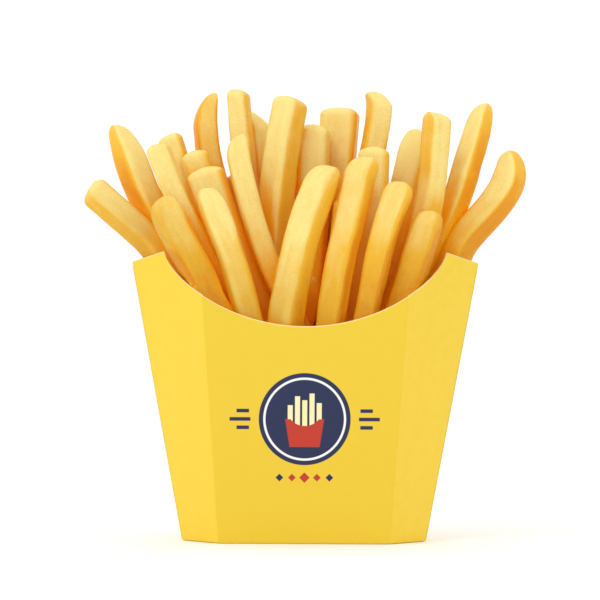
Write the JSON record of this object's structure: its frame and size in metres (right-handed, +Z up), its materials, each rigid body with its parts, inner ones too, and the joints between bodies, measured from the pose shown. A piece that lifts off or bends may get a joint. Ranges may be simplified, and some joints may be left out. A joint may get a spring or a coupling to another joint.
{
  "type": "french fries in a carton",
  "caption": "Thick-cut french fries standing in a folded yellow board carton with a scooped front, a slanted panel pair at each side and a flat base.",
  "frame": {"origin": "centre of the carton's flat underside", "axes": "+Z up out of the carton's mouth, -Y towards the scooped front, +X to the right as seen from the front"},
  "size_m": [0.1646, 0.0675, 0.1708],
  "materials": {
    "carton_board": "smooth printed yellow board with a paler cut edge",
    "fried_potato": "pale golden fried potato with a thin crisp skin"
  },
  "bodies": {
    "root": {"carton": "carton_board", "fries": "fried_potato"}
  },
  "joints": []
}
